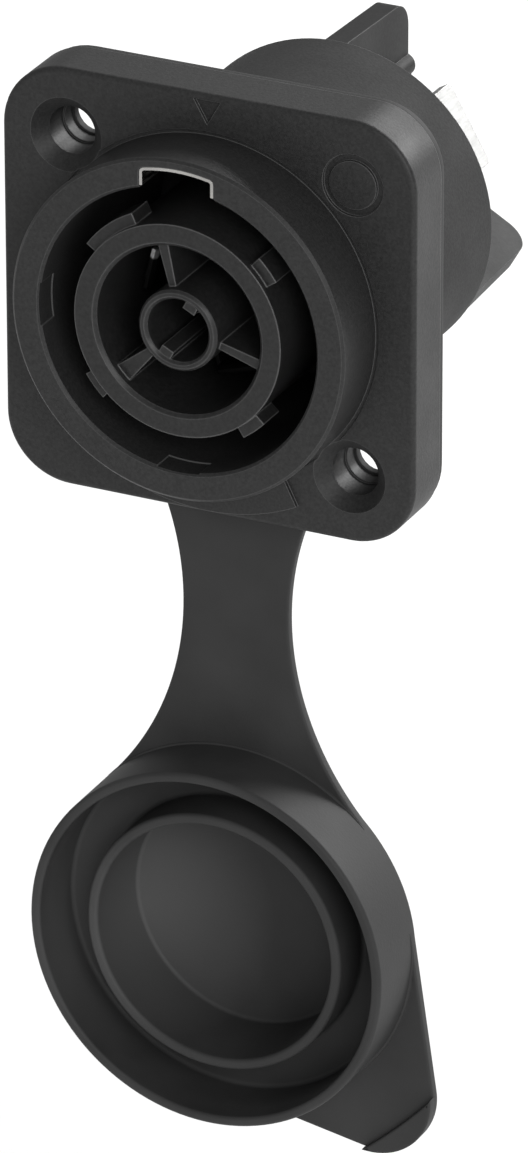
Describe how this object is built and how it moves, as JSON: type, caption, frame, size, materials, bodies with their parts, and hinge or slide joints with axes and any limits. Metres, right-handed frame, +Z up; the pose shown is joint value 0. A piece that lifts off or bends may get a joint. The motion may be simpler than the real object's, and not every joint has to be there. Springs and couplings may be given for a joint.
{
  "type": "locking panel power socket",
  "caption": "Square-flanged locking power socket for a round panel cut-out, with flat solder tabs behind and a rubber sealing cap on a strap.",
  "frame": {"origin": "on the socket's axis, in the gasket's rear face, which seats on the panel", "axes": "+Y along the barrel into the panel, +Z up towards the keyway, +X to the right as the mouth is seen"},
  "size_m": [0.031, 0.0351, 0.08],
  "materials": {
    "housing_plastic": "fine-grained black moulding",
    "insulator_plastic": "satin black moulding",
    "keeper_steel": "bright sheet steel",
    "spring_steel": "plain spring steel",
    "contact_metal": "bright tin plate on copper alloy",
    "seal_rubber": "smooth black rubber",
    "cover_rubber": "smooth matte black rubber"
  },
  "bodies": {
    "socket": {"front_housing": "housing_plastic", "latch_keeper": "keeper_steel", "contact_carrier": "insulator_plastic", "carrier_seal": "seal_rubber", "rear_insulator": "insulator_plastic", "live_contact": "contact_metal", "neutral_contact": "contact_metal", "earth_contact": "contact_metal", "live_spring": "spring_steel", "neutral_spring": "spring_steel", "earth_spring": "spring_steel", "cover_gasket": "cover_rubber"},
    "cap": {"cover_cap": "cover_rubber"}
  },
  "joints": [
    {"name": "cover_fold", "type": "hinge", "parent": "socket", "child": "cap", "pos_m": [0, -0.0057, -0.02434], "axis": [-1, 0, 0], "range_deg": [0, 180], "stiffness_Nm_per_rad": 0.003}
  ]
}
